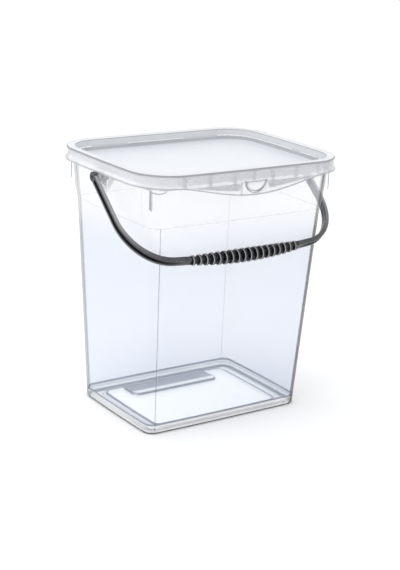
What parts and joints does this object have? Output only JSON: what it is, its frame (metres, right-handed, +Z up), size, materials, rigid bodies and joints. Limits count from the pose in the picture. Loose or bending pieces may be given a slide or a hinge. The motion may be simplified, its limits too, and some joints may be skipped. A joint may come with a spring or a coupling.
{
  "type": "plastic storage container",
  "caption": "Clear rectangular storage tub with a milky press-on lid and a dark carrying handle that swings over the lid.",
  "frame": {"origin": "middle of the foot, on the surface that the tub stands on", "axes": "+X along the long side, towards the right-hand pin of the handle; +Y towards the back wall; +Z up"},
  "size_m": [0.2742, 0.2091, 0.293],
  "materials": {
    "clear_plastic": "clear, glossy",
    "milky_plastic": "translucent, satin",
    "dark_plastic": "semi-gloss"
  },
  "bodies": {
    "tub": {"tub": "clear_plastic"},
    "lid": {"lid": "milky_plastic"},
    "handle": {"handle": "dark_plastic"}
  },
  "joints": [
    {"name": "handle_swing", "type": "hinge", "parent": "tub", "child": "handle", "pos_m": [0, 0, 0.2746], "axis": [-1, 0, 0], "range_deg": [0, 258]},
    {"name": "lid_lift", "type": "slide", "parent": "tub", "child": "lid", "axis": [0, 0, 1], "range_m": [0, 0.1]}
  ]
}
